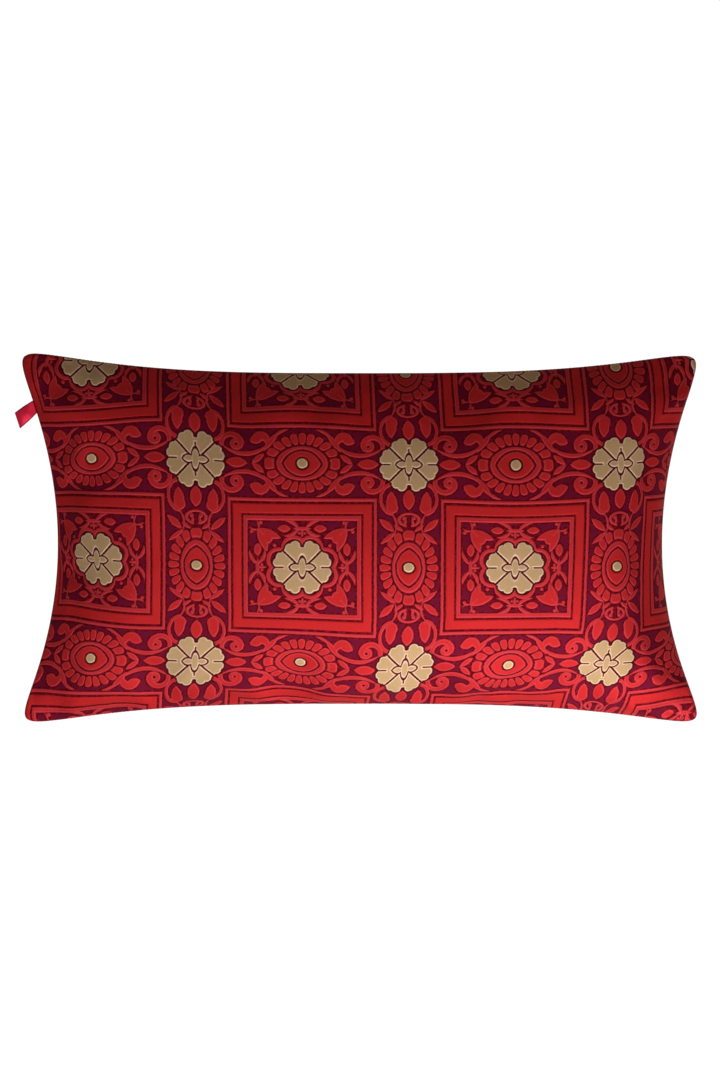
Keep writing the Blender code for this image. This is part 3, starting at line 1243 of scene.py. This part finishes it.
def stitch_tree():
    """A node tree that lays short pieces of thread along a curve."""
    tree = bpy.data.node_groups.new("seam stitches", "GeometryNodeTree")
    tree.interface.new_socket("Geometry", in_out="OUTPUT", socket_type="NodeSocketGeometry")
    tree.interface.new_socket("Seam", in_out="INPUT", socket_type="NodeSocketGeometry")
    for name in ("Pitch", "Stitch", "Thread"):
        tree.interface.new_socket(name, in_out="INPUT", socket_type="NodeSocketFloat")
    tree.interface.new_socket("Material", in_out="INPUT", socket_type="NodeSocketMaterial")
    nodes, links = tree.nodes, tree.links
    given = nodes.new("NodeGroupInput")
    points = nodes.new("GeometryNodeCurveToPoints")
    points.mode = "LENGTH"
    links.new(given.outputs["Seam"], points.inputs["Curve"])
    links.new(given.outputs["Pitch"], points.inputs["Length"])
    turned = nodes.new("FunctionNodeAlignRotationToVector")
    turned.axis = "Z"
    links.new(points.outputs["Tangent"], turned.inputs["Vector"])
    bead = nodes.new("GeometryNodeMeshUVSphere")
    bead.inputs["Segments"].default_value = STITCH_SEGMENTS
    bead.inputs["Rings"].default_value = STITCH_RINGS
    bead.inputs["Radius"].default_value = STITCH_RADIUS
    size = nodes.new("ShaderNodeCombineXYZ")
    for axis, name in enumerate(("Thread", "Thread", "Stitch")):
        links.new(given.outputs[name], size.inputs[axis])
    laid = nodes.new("GeometryNodeInstanceOnPoints")
    links.new(points.outputs["Points"], laid.inputs["Points"])
    links.new(bead.outputs["Mesh"], laid.inputs["Instance"])
    links.new(turned.outputs["Rotation"], laid.inputs["Rotation"])
    links.new(size.outputs["Vector"], laid.inputs["Scale"])
    real = nodes.new("GeometryNodeRealizeInstances")
    links.new(laid.outputs["Instances"], real.inputs["Geometry"])
    smooth = nodes.new("GeometryNodeSetShadeSmooth")
    links.new(real.outputs["Geometry"], smooth.inputs["Geometry"])
    finish = nodes.new("GeometryNodeSetMaterial")
    links.new(smooth.outputs["Geometry"], finish.inputs["Geometry"])
    links.new(given.outputs["Material"], finish.inputs["Material"])
    result = nodes.new("NodeGroupOutput")
    links.new(finish.outputs["Geometry"], result.inputs["Geometry"])
    return tree


# Studio

def add_floor(floor_colour):
    """The floor under the cushion."""
    mesh = bpy.data.meshes.new("floor")
    bm = bmesh.new()
    bmesh.ops.create_grid(bm, x_segments=1, y_segments=1, size=FLOOR_HALF)
    bm.to_mesh(mesh)
    bm.free()
    floor = new_object("studio_floor", mesh, floor_material(floor_colour))
    mesh.transform(Matrix.Translation((0, 0, -FLOOR_GAP)))


def add_softbox(name, location, watts, tint):
    """A soft rectangular light that faces the cushion."""
    light = bpy.data.lights.new(name, "AREA")
    light.shape = "RECTANGLE"
    light.size, light.size_y = SOFTBOX_SIZE
    light.energy = watts
    light.color = tint
    lamp = bpy.data.objects.new(name, light)
    bpy.context.scene.collection.objects.link(lamp)
    lamp.location = location
    towards_cushion = Vector(SOFTBOX_TARGET) - Vector(location)
    lamp.rotation_euler = towards_cushion.to_track_quat("-Z", "Y").to_euler()


def add_world():
    """Faint white light from all round."""
    world = bpy.data.worlds.new("studio")
    world.use_nodes = True
    background = world.node_tree.nodes["Background"]
    background.inputs["Color"].default_value = (1, 1, 1, 1)
    background.inputs["Strength"].default_value = WORLD_STRENGTH
    bpy.context.scene.world = world


def add_camera(studio, seam_height):
    """The camera, which looks down on the middle of the seam's plane."""
    camera = bpy.data.cameras.new("camera")
    camera.sensor_fit = "VERTICAL"
    camera.sensor_height = SENSOR_HEIGHT
    camera.lens = studio.lens
    camera.clip_start = CLIP_START
    viewer = bpy.data.objects.new("camera", camera)
    bpy.context.scene.collection.objects.link(viewer)
    target = Vector((0, 0, seam_height))
    direction = Vector((0, math.sin(studio.tilt), math.cos(studio.tilt)))
    viewer.location = target + direction * studio.distance
    viewer.rotation_euler = (-studio.tilt, 0, 0)
    bpy.context.scene.camera = viewer


# Operators

def settings_of(context):
    return context.scene.brocade_cushion


class CUSHION_OT_filled(bpy.types.Operator):
    """Makes the filled cushion with its brocade face and plain back"""

    bl_idname = "cushion.filled"
    bl_label = "Filled cushion"

    def execute(self, context):
        sizes = settings_of(context).sizes
        colours = settings_of(context).colours
        mesh = cushion_mesh(sizes)
        cushion = new_object("filled_cushion", mesh, brocade_material(colours), silk_material(colours))
        settle(cushion, sizes)
        smooth = cushion.modifiers.new("smooth", "SUBSURF")
        smooth.levels = 1
        smooth.render_levels = 1
        bake_modifiers(cushion)
        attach(cushion, "root")
        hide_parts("cushion")
        return {"FINISHED"}


class CUSHION_OT_ribbon(bpy.types.Operator):
    """Makes the folded ribbon tab"""

    bl_idname = "cushion.ribbon"
    bl_label = "Ribbon tab"

    def execute(self, context):
        settings = settings_of(context)
        mesh, flat_length = ribbon_mesh(settings.sizes, settings.ribbon)
        tab = new_object("folded_ribbon", mesh, satin_material(settings.ribbon))
        solid = tab.modifiers.new("thickness", "SOLIDIFY")
        solid.thickness = settings.ribbon.thickness
        solid.offset = 0
        bake_modifiers(tab)
        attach(tab, "root")
        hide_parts("ribbon_tab")
        return {"FINISHED"}


class CUSHION_OT_stitches(bpy.types.Operator):
    """Makes the seam's stitches, which follow the cushion's outline"""

    bl_idname = "cushion.stitches"
    bl_label = "Seam stitches"

    def execute(self, context):
        settings = settings_of(context)
        sizes = settings.stitches
        seam = new_object("seam_line", seam_curve(settings.sizes, sizes.inset))
        tree = stitch_tree()
        stitched = seam.modifiers.new("stitches", "NODES")
        stitched.node_group = tree
        values = {
            "Pitch": sizes.pitch,
            "Stitch": sizes.stitch,
            "Thread": sizes.thread,
            "Material": thread_material(settings.colours.thread),
        }
        for socket in tree.interface.items_tree:
            if socket.in_out == "INPUT" and socket.name in values:
                stitched[socket.identifier] = values[socket.name]
        mesh = evaluated_mesh(seam)
        bpy.data.objects.remove(seam)
        stitches = new_object("seam_stitches", mesh)
        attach(stitches, "root")
        return {"FINISHED"}


class CUSHION_OT_studio(bpy.types.Operator):
    """Sets the floor, the lights and the camera"""

    bl_idname = "cushion.studio"
    bl_label = "Studio"

    def execute(self, context):
        settings = settings_of(context)
        context.scene.view_settings.view_transform = "Standard"
        add_floor(settings.studio.floor)
        for name, location, watts, tint in SOFTBOXES:
            add_softbox(name, location, watts, tint)
        add_world()
        add_camera(settings.studio, settings.sizes.seam_height)
        return {"FINISHED"}


class CushionSettings(bpy.types.PropertyGroup):
    """Everything that a user would change."""

    sizes: PointerProperty(type=CushionSizes)
    colours: PointerProperty(type=BrocadeColours)
    ribbon: PointerProperty(type=RibbonSizes)
    stitches: PointerProperty(type=StitchSizes)
    studio: PointerProperty(type=StudioSizes)


class CUSHION_PT_panel(bpy.types.Panel):
    """Lists the cushion's sizes, colours and pieces"""

    bl_idname = "CUSHION_PT_panel"
    bl_label = "Brocade cushion"
    bl_space_type = "VIEW_3D"
    bl_region_type = "UI"
    bl_category = "Cushion"

    def draw(self, context):
        settings = settings_of(context)
        for operator in OPERATORS:
            self.layout.operator(operator.bl_idname)
        groups = (settings.sizes, settings.colours, settings.ribbon, settings.stitches, settings.studio)
        for group in groups:
            box = self.layout.box()
            for name in group.__annotations__:
                box.prop(group, name)


OPERATORS = (CUSHION_OT_filled, CUSHION_OT_ribbon, CUSHION_OT_stitches, CUSHION_OT_studio)
GROUPS = (CushionSizes, BrocadeColours, RibbonSizes, StitchSizes, StudioSizes, CushionSettings)


def register():
    for kind in GROUPS + OPERATORS + (CUSHION_PT_panel,):
        bpy.utils.register_class(kind)
    bpy.types.Scene.brocade_cushion = PointerProperty(type=CushionSettings)


def unregister():
    del bpy.types.Scene.brocade_cushion
    for kind in reversed(GROUPS + OPERATORS + (CUSHION_PT_panel,)):
        bpy.utils.unregister_class(kind)


def main():
    register()
    bpy.ops.cushion.filled()
    bpy.ops.cushion.ribbon()
    bpy.ops.cushion.stitches()
    bpy.ops.cushion.studio()


if __name__ == "__main__":
    main()
